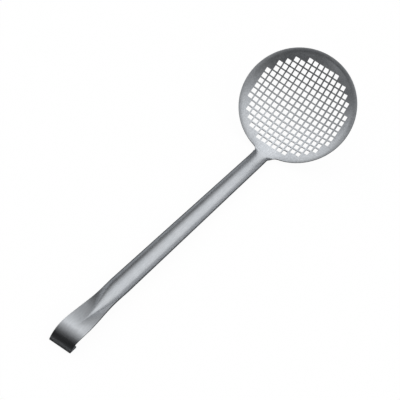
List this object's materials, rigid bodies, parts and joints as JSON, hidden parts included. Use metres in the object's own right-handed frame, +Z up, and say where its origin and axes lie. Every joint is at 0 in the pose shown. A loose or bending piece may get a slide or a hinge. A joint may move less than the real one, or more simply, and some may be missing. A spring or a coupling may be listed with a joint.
{
  "type": "skimmer",
  "caption": "Shallow round skimmer bowl of punched sheet steel on a long channelled handle with a turned-down hanging hook, for lifting food out of hot oil or stock.",
  "frame": {"origin": "on the table, under the middle of the skimmer's bounding box, as it lies on its hook lip and on the channel's underside near the bowl", "axes": "+X along the handle towards the hook, +Y across the handle, +Z up; the bowl is at -X with its open side facing up and towards the hook"},
  "size_m": [0.4606, 0.121, 0.0826],
  "materials": {
    "steel": "satin stainless steel, tumbled and lightly brushed"
  },
  "bodies": {
    "root": {"perforated_bowl": "steel", "channel_handle": "steel"}
  },
  "joints": []
}
